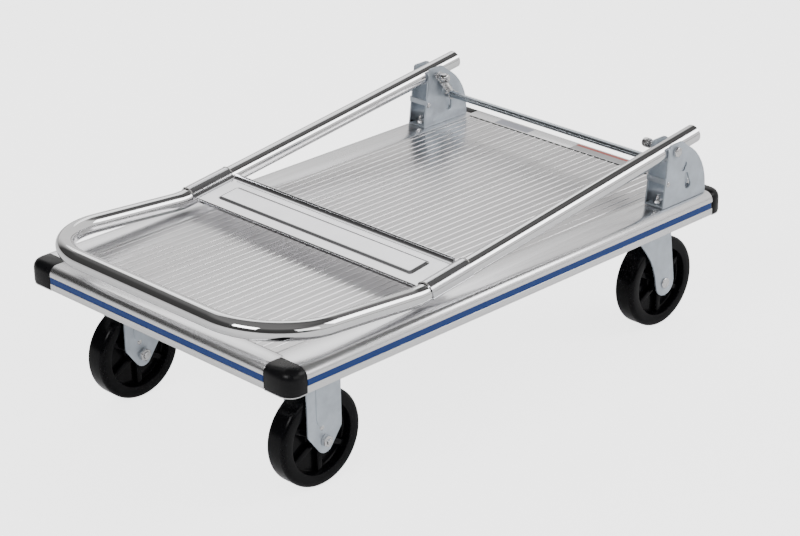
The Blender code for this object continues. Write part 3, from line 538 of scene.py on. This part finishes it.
def makeCoilTool():
    # a wound spring standing along Z
    tree, entry, leave = nodeTool("woundSpring", [
        ("Turns", "NodeSocketFloat", 12), ("Radius", "NodeSocketFloat", 0.0047),
        ("Length", "NodeSocketFloat", 0.02), ("Wire", "NodeSocketFloat", 0.0006),
        ("Material", "NodeSocketMaterial", None)])
    spiral = tree.nodes.new("GeometryNodeCurveSpiral")
    spiral.inputs["Resolution"].default_value = 20
    tree.links.new(entry.outputs["Turns"], spiral.inputs["Rotations"])
    tree.links.new(entry.outputs["Radius"], spiral.inputs["Start Radius"])
    tree.links.new(entry.outputs["Radius"], spiral.inputs["End Radius"])
    tree.links.new(entry.outputs["Length"], spiral.inputs["Height"])
    wire = tree.nodes.new("GeometryNodeCurvePrimitiveCircle")
    wire.inputs["Resolution"].default_value = 8
    tree.links.new(entry.outputs["Wire"], wire.inputs["Radius"])
    solid = tree.nodes.new("GeometryNodeCurveToMesh")
    solid.inputs["Fill Caps"].default_value = True
    tree.links.new(spiral.outputs[0], solid.inputs["Curve"])
    tree.links.new(wire.outputs[0], solid.inputs["Profile Curve"])
    return finishTool(tree, solid.outputs[0], entry, leave)


boltTool, spokeTool, domeTool, coilTool = makeBoltTool(), makeSpokeTool(), makeDomeTool(), makeCoilTool()

# ---- deck
deckEdges = {"rail": 0.0005, "crossMember": 0.0006, "cap": 0.0007, "trim": 0.0002}
for side in ("left", "right"):
    softened(f"side_rail_{side}", deckEdges["rail"])
for end in ("front", "rear"):
    softened(f"end_rail_{end}", deckEdges["rail"], look="end_rail")
    softened(f"cross_member_{end}", deckEdges["crossMember"], look="end_rail")
    for side in ("left", "right"):
        softened(f"corner_cap_{end}_{side}", deckEdges["cap"], edgeAngle=40)
for side in ("left", "right", "front", "rear"):
    softened(f"trim_{side}", deckEdges["trim"], 1)


def flatPiece(name, outline, low, high, look, slot):
    # a thin sheet with the given outline
    bm = bmesh.new()
    face = bm.faces.new([bm.verts.new((x, y, low)) for x, y in outline])
    grown = bmesh.ops.extrude_face_region(bm, geom=[face])
    raised = [item for item in grown["geom"] if isinstance(item, bmesh.types.BMVert)]
    bmesh.ops.translate(bm, verts=raised, vec=(0, 0, high - low))
    bmesh.ops.recalc_face_normals(bm, faces=bm.faces)
    settle(toObject(name, bm, look, 40), "deck", slot)


def oblongOutline(x0, x1, y0, y1):
    return [(x0, y0), (x1, y0), (x1, y1), (x0, y1)]


capLip = {"thick": 0.0012, "gap": 0.0001, "inset": 0.0006, "cornerRadius": 0.0175, "steps": 10}


def makeCapLip(end, side):
    # the sheet corner that shows under each plastic cap
    low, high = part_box(f"corner_cap_{end}_{side}")
    signX, signY = (1 if side == "right" else -1), (1 if end == "rear" else -1)
    outX, inX = (high.x, low.x) if signX > 0 else (low.x, high.x)
    outY, inY = (high.y, low.y) if signY > 0 else (low.y, high.y)
    outX, outY = outX - signX * capLip["inset"], outY - signY * capLip["inset"]
    radius = capLip["cornerRadius"]
    outline = [(inX, inY), (outX, inY)]
    for i in range(capLip["steps"] + 1):
        angle = math.pi / 2 * i / capLip["steps"]
        outline.append((outX - signX * radius * (1 - math.cos(angle)),
                        outY - signY * radius * (1 - math.sin(angle))))
    outline.append((inX, outY))
    flatPiece(f"cap_lip_{end}_{side}", outline, low.z - capLip["thick"], low.z - capLip["gap"],
              "rail_aluminium", "rail_aluminium")


for end in ("front", "rear"):
    for side in ("left", "right"):
        makeCapLip(end, side)

labels = {  # blank stickers on the rear rail: low x, high x, low y, high y counted from the deck's middle
    "label_pale": (-0.152, -0.088, 0.3705, 0.3872), "label_white": (-0.004, 0.104, 0.3690, 0.3822),
    "label_red": (-0.004, 0.104, 0.3824, 0.3880),
}
labelSunk, labelProud = 0.0001, 0.00015
for name, (x0, x1, y0, y1) in labels.items():
    flatPiece(name, oblongOutline(x0, x1, y0 + deckMiddle, y1 + deckMiddle), deckTop - labelSunk,
              deckTop + labelProud, name, "rail_aluminium")

# size of the black strip painted as the shade in the rear seam
seamShade = {"before": 0.0012, "over": 0.0002, "deep": 0.0009, "proud": 0.0002}


def makeSeamShade():
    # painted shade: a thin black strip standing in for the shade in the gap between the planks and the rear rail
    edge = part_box("end_rail_rear")[0].y
    left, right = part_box("side_rail_left")[1].x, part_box("side_rail_right")[0].x
    outline = oblongOutline(left, right, edge - seamShade["before"], edge + seamShade["over"])
    flatPiece("rear_seam_shade", outline, deckTop - seamShade["deep"], deckTop + seamShade["proud"], "black_plastic",
              "black_plastic")


makeSeamShade()
print("deck ready")

# ---- hinge brackets, casters and fasteners
zincEdges = {"sheet": 0.0005, "fastener": 0.0003}
for node, slot in slotOf.items():
    if slot == "zinc_sheet" and node != "latch_rod":
        softened(node, zincEdges["sheet"], keepFaces=node.startswith(("hinge_bracket", "swivel_plate")))
    if slot == "zinc_fastener":
        softened(node, zincEdges["fastener"], sharpAngle=38)

plateBolts = {"inset": 0.0125, "plateThick": 0.003, "hexRadius": 0.0062, "hexHeight": 0.0048}
boltPoints = []
for node in ("rigid_fork_left", "rigid_fork_right", "swivel_plate_left", "swivel_plate_right"):
    low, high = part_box(node)
    plateUnder = high.z - plateBolts["plateThick"]
    for x in (low.x + plateBolts["inset"], high.x - plateBolts["inset"]):
        for y in (low.y + plateBolts["inset"], high.y - plateBolts["inset"]):
            boltPoints.append((x, y, plateUnder))
bolts = runTool("caster_plate_bolts", boltTool, boltPoints, {
    "Hex Radius": plateBolts["hexRadius"], "Hex Height": plateBolts["hexHeight"],
    "Material": looks["zinc_fastener"]})
settle(bolts, "deck", "zinc_fastener")

rivets = {"radius": 0.0040, "flatness": 0.45, "outerBack": 0.0098, "outerUp": 0.0330, "innerBack": 0.0094,
          "innerUp": 0.0331, "forkHalf": 0.02125, "forkForward": 0.005, "forkUp": 0.0365}
rivetPoints = []
for side, sign in (("left", -1), ("right", 1)):
    low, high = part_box(f"hinge_bracket_{side}")
    inner = high.x if sign < 0 else low.x
    outer = low.x if sign < 0 else high.x
    rivetPoints.append((inner, low.y + rivets["innerBack"], low.z + rivets["innerUp"]))
    rivetPoints.append((outer, low.y + rivets["outerBack"], low.z + rivets["outerUp"]))
    low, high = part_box(f"rigid_fork_{side}")
    middle = (low + high) / 2
    for face in (-1, 1):
        rivetPoints.append((middle.x + face * rivets["forkHalf"], middle.y - rivets["forkForward"],
                            low.z + rivets["forkUp"]))
rivetHeads = runTool("sheet_rivets", domeTool, rivetPoints, {
    "Radius": rivets["radius"], "Flatness": rivets["flatness"], "Material": looks["zinc_fastener"]}, 60)
settle(rivetHeads, "deck", "zinc_fastener")
print("brackets and casters ready")

# ---- wheels
wheel = {"half": 0.01575, "shoulder": 0.0062, "shoulderSteps": 8, "sides": 112, "spokes": 6,
         "spokeWidth": 0.0085, "spokeThick": 0.0215, "spokeRound": 0.0016, "spokeFrom": 0.0145,
         "spokeTo": 0.0482}


def wheelProfile(half, radius):
    # outwards from the bore: hub face, web, rim side and round shoulder; the other side mirrors it
    shoulder, steps = wheel["shoulder"], wheel["shoulderSteps"]
    profile = [(-0.0176, 0.0056), (-0.0178, 0.0060), (-0.0178, 0.0138), (-0.0172, 0.0146), (-0.0120, 0.0152),
               (-0.0052, 0.0165), (-0.0040, 0.0178), (-0.0040, 0.0445), (-0.0050, 0.0460),
               (-half + 0.0015, 0.0478), (-half + 0.0004, 0.0484), (-half, 0.0494), (-half, 0.0590)]
    for i in range(1, steps):
        angle = math.pi / 2 * i / steps
        profile.append((-half + shoulder * (1 - math.cos(angle)), radius - shoulder * (1 - math.sin(angle))))
    profile.append((-half + shoulder, radius))
    return profile + [(-a, r) for a, r in reversed(profile)]


for corner in ("front_left", "front_right", "rear_left", "rear_right"):
    node = f"wheel_{corner}"
    low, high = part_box(node)
    centre = (low + high) / 2
    bm = bmesh.new()
    lathe(bm, centre, wheelProfile(wheel["half"], (high.z - low.z) / 2), wheel["sides"])
    rim = toObject(f"wheel_rim_{corner}", bm, "wheel_black", 30)
    settle(rim, bodyOf[node], "wheel_black", node)
    spokes = runTool(f"wheel_spokes_{corner}", spokeTool, [centre], {
        "Count": wheel["spokes"], "Inner": wheel["spokeFrom"], "Outer": wheel["spokeTo"],
        "Width": wheel["spokeWidth"], "Thickness": wheel["spokeThick"], "Material": looks["wheel_hub"]})
    bevel = spokes.modifiers.new("rounded", "BEVEL")
    bevel.width, bevel.segments = wheel["spokeRound"], 3
    bake(spokes)
    shadeByAngle(spokes.data, 40)
    settle(spokes, bodyOf[node], "wheel_black")
print("wheels ready")

# ---- folding handle
handle = {"radius": 0.0125, "wall": 0.0015, "legX": 0.2240, "slope": math.radians(7.4), "stub": 0.055,
          "kinkAlong": 0.4740, "kinkRadius": 0.120, "loopRadius": 0.100, "loopHeight": 0.2410, "sides": 40,
          "endChamfer": 0.0004}
pivot = Vector(joints["handle_fold"]["pos_m"])
legWay = Vector((0, -math.cos(handle["slope"]), -math.sin(handle["slope"])))
legUp = Vector((0, -math.sin(handle["slope"]), math.cos(handle["slope"])))


def legPoint(x, along, height=0.0):
    return Vector((x, 0, 0)) + pivot + legWay * along + legUp * height


def roundCorner(corner, before, after, radius, steps):
    # points of the arc that rounds a corner between two straight runs
    toBefore, toAfter = (before - corner).normalized(), (after - corner).normalized()
    half = toBefore.angle(toAfter) / 2
    centre = corner + (toBefore + toAfter).normalized() * (radius / math.sin(half))
    start = corner + toBefore * (radius / math.tan(half)) - centre
    end = corner + toAfter * (radius / math.tan(half)) - centre
    sweepAngle = start.angle(end)
    points = []
    for i in range(steps + 1):
        t = i / steps
        mix = math.sin((1 - t) * sweepAngle) * start + math.sin(t * sweepAngle) * end
        points.append(centre + mix / math.sin(sweepAngle))
    return points


def makeHandle():
    x = handle["legX"]
    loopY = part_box("handle_tube")[0].y + handle["radius"]
    end, kink = legPoint(x, -handle["stub"]), legPoint(x, handle["kinkAlong"])
    corner = Vector((x, loopY, handle["loopHeight"]))
    farCorner = Vector((-x, loopY, handle["loopHeight"]))
    path = [end, legPoint(x, 0.0)]
    path += roundCorner(kink, end, corner, handle["kinkRadius"], 10)
    path += roundCorner(corner, kink, farCorner, handle["loopRadius"], 28)
    path += [Vector((-p.x, p.y, p.z)) for p in reversed(path)]
    bm = bmesh.new()
    lip = handle["endChamfer"]
    outward, inward = (path[0] - path[1]).normalized(), (path[-1] - path[-2]).normalized()
    body = [path[0] - outward * lip] + path[1:-1] + [path[-1] - inward * lip]
    outer = sweep(bm, body, handle["radius"], handle["sides"])
    inner = sweep(bm, body, handle["radius"] - handle["wall"], handle["sides"])
    for index, point, way in ((0, path[0], outward), (-1, path[-1], inward)):
        middle = []
        for share in (handle["radius"] - lip, handle["radius"] - handle["wall"] + lip):
            ring = []
            for vert in outer[index]:
                spoke = vert.co - (point - way * lip)
                ring.append(bm.verts.new(point + spoke.normalized() * share))
            middle.append(ring)
        for low, high in ((outer[index], middle[0]), (middle[0], middle[1]), (middle[1], inner[index])):
            for k in range(handle["sides"]):
                bm.faces.new((low[k - 1], low[k], high[k], high[k - 1]))
    bmesh.ops.recalc_face_normals(bm, faces=bm.faces)
    tube = toObject("handle_tube_piece", bm, "chrome_tube", 40)
    settle(tube, "handle", "chrome_tube", "handle_tube")


makeHandle()

crossPlate = {
    "from": 0.3900, "to": 0.4605, "top": 0.00375, "thick": 0.0015, "wrap": 0.0143, "wrapLow": -30,
    "wrapHigh": 145, "wrapSteps": 18, "curlSteps": 8, "flatSteps": 56, "lipSteps": 6, "curl": 0.0062,
    "lipRound": 0.0022, "lipDrop": 0.0032, "panelHalf": (0.183, 0.0190), "panelRound": 0.006,
    "panelRise": 0.0026, "panelSlope": 0.0052, "panelShift": 0.0010,
}


def panelRise(x, s):
    # height of the pressed panel, a round-cornered box with sloping sides
    middle = (crossPlate["from"] + crossPlate["to"]) / 2 + crossPlate["panelShift"]
    radius = crossPlate["panelRound"]
    dx = abs(x) - crossPlate["panelHalf"][0] + radius
    ds = abs(s - middle) - crossPlate["panelHalf"][1] + radius
    outside = math.hypot(max(dx, 0), max(ds, 0)) + min(max(dx, ds), 0) - radius
    share = min(max(-outside / crossPlate["panelSlope"], 0), 1)
    return crossPlate["panelRise"] * share * share * (3 - 2 * share)


def plateColumns(plate):
    # across the cart: x, height, share of the flat part's own shape
    half = []
    for i in range(plate["wrapSteps"] + 1):
        angle = plate["wrapLow"] + (plate["wrapHigh"] - plate["wrapLow"]) * i / plate["wrapSteps"]
        angle = math.radians(angle)
        half.append((handle["legX"] + plate["wrap"] * math.cos(angle), plate["wrap"] * math.sin(angle), 0))
    half += [(0.2098, 0.0048, 0), (0.2084, 0.0040, 0), (0.2072, plate["top"], 0)]
    x = 0.2060
    while x > 0.0001:
        half.append((x, plate["top"], 1))
        x -= 0.0008 if x > 0.170 else 0.0100  # fine around the panel's ends
    return half + [(0.0, plate["top"], 1)] + [(-a, b, c) for a, b, c in reversed(half)]


def plateRows(plate):
    # along the legs, from the curled edge to the turned-down lip: flat place, curled place, extra height
    start, curl, lip = plate["from"], plate["curl"], plate["lipRound"]
    flatEnd = plate["to"] - lip
    rows = []
    for i in range(plate["curlSteps"] + 1):
        share = i / plate["curlSteps"]
        angle = math.radians(90 - 90 * share)
        rows.append((start + curl * share, start + curl * (1 - math.sin(angle)),
                     curl * (1 - math.cos(angle))))
    for i in range(1, plate["flatSteps"] + 1):
        place = start + curl + (flatEnd - start - curl) * i / plate["flatSteps"]
        rows.append((place, place, 0))
    for i in range(1, plate["lipSteps"] + 1):
        share = i / plate["lipSteps"]
        angle = math.radians(90 * share)
        rows.append((flatEnd + lip * share, flatEnd + lip * math.sin(angle), -lip * (1 - math.cos(angle))))
    rows.append((plate["to"], plate["to"], -lip - plate["lipDrop"]))
    return rows


def makeCrossPlate():
    plate = crossPlate
    columns, rows = plateColumns(plate), plateRows(plate)
    bm = bmesh.new()
    grid = []
    for flat, curled, rise in rows:
        line = []
        for x, height, share in columns:
            s = flat + (curled - flat) * share
            line.append(bm.verts.new(legPoint(x, s, height + share * (rise + panelRise(x, s)))))
        grid.append(line)
    for low, high in zip(grid[:-1], grid[1:]):
        for k in range(1, len(columns)):
            corners = (low[k - 1], high[k - 1], high[k], low[k])
            if len({tuple(round(c, 7) for c in v.co) for v in corners}) == 4:
                bm.faces.new(corners)
    bmesh.ops.remove_doubles(bm, verts=bm.verts, dist=1e-6)
    bm.faces.ensure_lookup_table()
    bm.normal_update()
    centre = legPoint(0, (plate["from"] + plate["to"]) / 2)
    middle = min(bm.faces, key=lambda face: (face.calc_center_median() - centre).length)
    if middle.normal.dot(legUp) < 0:
        bmesh.ops.reverse_faces(bm, faces=bm.faces)
    obj = toObject("cross_plate_piece", bm, "plated_sheet", 50)
    shell = obj.modifiers.new("sheet", "SOLIDIFY")
    shell.thickness, shell.offset = plate["thick"], -1
    bake(obj)
    shadeByAngle(obj.data, 42)
    settle(obj, "handle", "plated_sheet", "cross_plate")


makeCrossPlate()

welds = {"ring": 0.0139, "bead": 0.0010, "past": 0.0004, "firstAngle": 62, "lastAngle": 138, "count": 17}
beadPoints = []
for sign in (-1, 1):
    for s in (crossPlate["from"] - welds["past"], crossPlate["to"] + welds["past"]):
        for i in range(welds["count"]):
            angle = math.radians(welds["firstAngle"] + (welds["lastAngle"] - welds["firstAngle"])
                                 * i / (welds["count"] - 1))
            beadPoints.append(legPoint(sign * (handle["legX"] + welds["ring"] * math.cos(angle)), s,
                                       welds["ring"] * math.sin(angle)))
beads = runTool("weld_beads", domeTool, beadPoints, {
    "Radius": welds["bead"], "Flatness": 1.0, "Material": looks["weld_metal"]}, 80)
settle(beads, "handle", "plated_sheet")
print("handle ready")

# ---- latch rod and springs
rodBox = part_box("latch_rod")
rodCentre = Vector((0, (rodBox[0].y + rodBox[1].y) / 2, (rodBox[0].z + rodBox[1].z) / 2))
rod = {"radius": 0.00475, "collarRadius": 0.0068, "collarOut": 0.2077, "collarIn": 0.2060,
       "endChamfer": 0.0006}
rodPin = {"x": 0.2045, "front": (-0.0119, 0.0033), "back": (0.0160, -0.0010), "radius": 0.0011}
rodEnd = rodBox[1].x


def makeRod():
    r, c = rod["radius"], rod["collarRadius"]
    half = [(rod["collarIn"], r), (rod["collarIn"] + 0.0001, c - 0.0003), (rod["collarIn"] + 0.0004, c),
            (rod["collarOut"] - 0.0004, c), (rod["collarOut"] - 0.0001, c - 0.0003), (rod["collarOut"], r),
            (rodEnd - rod["endChamfer"], r), (rodEnd, r - rod["endChamfer"]), (rodEnd, 0)]
    profile = [(-a, b) for a, b in reversed(half)] + half
    bm = bmesh.new()
    lathe(bm, rodCentre, profile, 40)
    settle(toObject("latch_rod_piece", bm, "rod_steel", 34), "latch", "zinc_sheet", "latch_rod")


def makeRodPin(side, sign):
    # thin wire through the rod near each bracket
    bm = bmesh.new()
    x = sign * rodPin["x"]
    ends = [rodCentre + Vector((x, *rodPin["front"])), rodCentre + Vector((x, *rodPin["back"]))]
    sweep(bm, [ends[0], ends[0].lerp(ends[1], 0.5), ends[1]], rodPin["radius"], 14, True)
    bmesh.ops.recalc_face_normals(bm, faces=bm.faces)
    settle(toObject(f"rod_pin_{side}", bm, "zinc_fastener", 40), "latch", "zinc_sheet")


spring = {"turns": 12, "radius": 0.0050, "wire": 0.00090, "reach": 0.0115, "topHook": 0.0050,
          "lowHook": 0.0056, "hookFrom": 20, "hookTurn": 300, "hookSteps": 18, "legShift": 0.2}


def makeSpring(side):
    node = f"return_spring_{side}"
    low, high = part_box(node)
    x = (low.x + high.x) / 2
    top, bottom = Vector((x, pivot.y, pivot.z)), Vector((x, rodCentre.y, rodCentre.z))
    pull = (bottom - top).normalized()
    length = (bottom - top).length - 2 * spring["reach"]
    coil = runTool(f"spring_coil_{side}", coilTool, [(0, 0, 0)], {
        "Turns": spring["turns"], "Radius": spring["radius"], "Length": length, "Wire": spring["wire"],
        "Material": looks["spring_steel"]}, 60)
    turn = pull.to_track_quat("Z", "X").to_matrix().to_4x4()
    coil.data.transform(Matrix.Translation(top + pull * spring["reach"]) @ turn)
    across = Vector((0, -pull.z, pull.y))
    bm = bmesh.new()
    bm.from_mesh(coil.data)
    for centre, way, hole in ((top, pull, spring["topHook"]), (bottom, -pull, spring["lowHook"])):
        # a leg from the coil, then an open hook round the bolt or the rod
        path = [centre + way * spring["reach"] + across * spring["radius"] * spring["legShift"]]
        for i in range(spring["hookSteps"] + 1):
            angle = math.radians(spring["hookFrom"] + spring["hookTurn"] * i / spring["hookSteps"])
            path.append(centre + (way * math.cos(angle) + across * math.sin(angle)) * (hole + spring["wire"]))
        sweep(bm, path, spring["wire"], 8, True)
    bmesh.ops.recalc_face_normals(bm, faces=bm.faces)
    bm.to_mesh(coil.data)
    bm.free()
    shadeByAngle(coil.data, 60)
    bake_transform(coil)
    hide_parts(node)


makeRod()
for side, sign in (("left", -1), ("right", 1)):
    makeSpring(side)
    makeRodPin(side, sign)
print("latch ready")

# ---- floor
floorHalf = 14
floorHeight = -0.0005
floorGlow = (0.26, 2.8)  # on the cart, and as the camera sees it


def makeFloor():
    mesh = bpy.data.meshes.new("studioFloor")
    outline = oblongOutline(-floorHalf, floorHalf, -floorHalf, floorHalf)
    mesh.from_pydata([(x, y, floorHeight) for x, y in outline], [], [(0, 1, 2, 3)])
    floor = bpy.data.objects.new("studioFloor", mesh)
    scene.collection.objects.link(floor)
    material = bpy.data.materials.new("paleFloor")
    material.use_nodes = True
    shader = material.node_tree.nodes["Principled BSDF"]
    shader.inputs["Base Color"].default_value = (0.92, 0.92, 0.92, 1)
    shader.inputs["Roughness"].default_value = 0.7
    shader.inputs["Emission Color"].default_value = (1, 1, 1, 1)
    # the floor looks pale to the camera, without throwing that much light back up on the cart
    seen = material.node_tree.nodes.new("ShaderNodeLightPath")
    glow = material.node_tree.nodes.new("ShaderNodeMapRange")
    glow.inputs["To Min"].default_value, glow.inputs["To Max"].default_value = floorGlow
    material.node_tree.links.new(seen.outputs["Is Camera Ray"], glow.inputs["Value"])
    material.node_tree.links.new(glow.outputs[0], shader.inputs["Emission Strength"])
    mesh.materials.append(material)


makeFloor()
